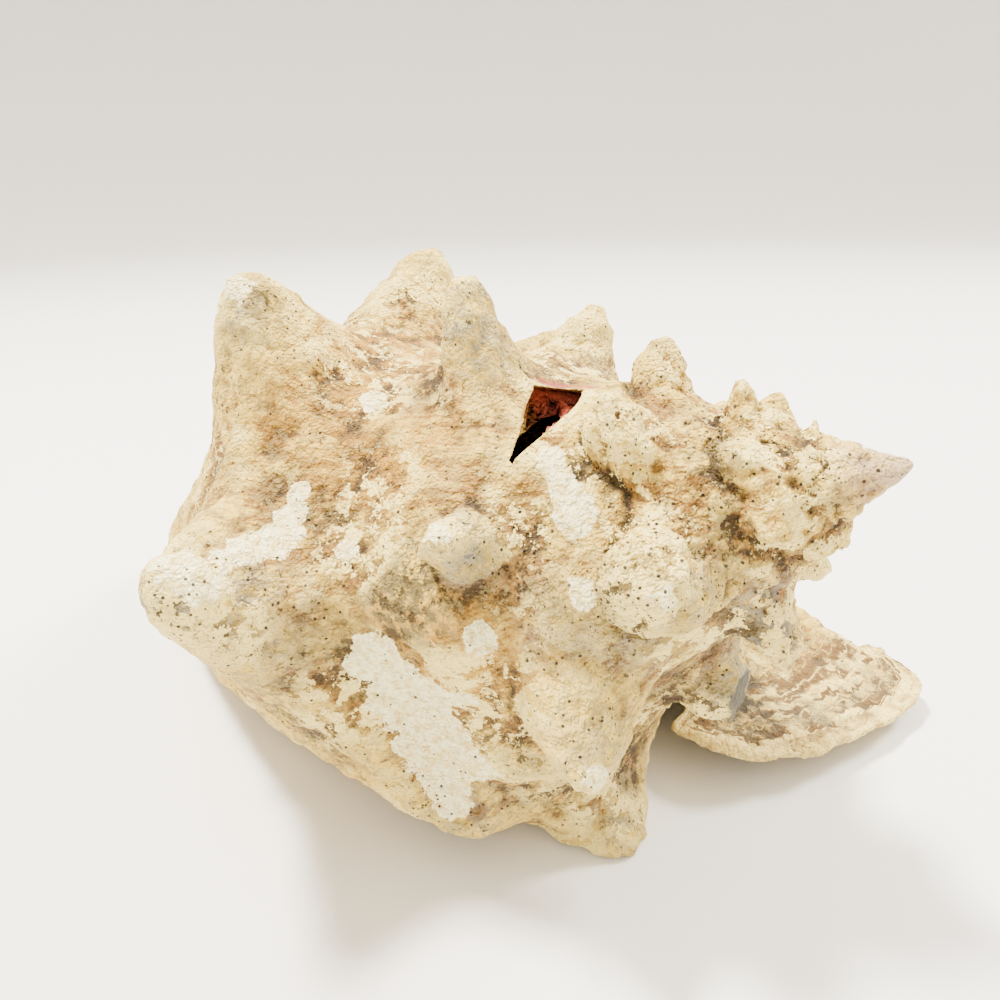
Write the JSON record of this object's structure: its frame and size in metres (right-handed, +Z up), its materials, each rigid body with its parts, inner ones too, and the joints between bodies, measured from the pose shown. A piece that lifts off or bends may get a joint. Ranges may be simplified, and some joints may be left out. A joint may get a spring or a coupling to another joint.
{
  "type": "queen conch shell",
  "caption": "Weathered queen conch shell with a row of blunt spines, a flared lip, a deep aperture underneath and a narrow slot knocked through the spire.",
  "frame": {"origin": "centre of the box round the shell, at the height of the flat that it rests on", "axes": "+X towards the apex of the spire, +Y towards the wing of the lip, +Z up, in the pose in which it rests on its lip"},
  "size_m": [0.2186, 0.1523, 0.1066],
  "materials": {
    "weathered_shell": "matte chalky shell, pitted, with cream and ochre stains; glossy pink-orange inside the lip"
  },
  "bodies": {
    "root": {"shell": "weathered_shell"}
  },
  "joints": []
}
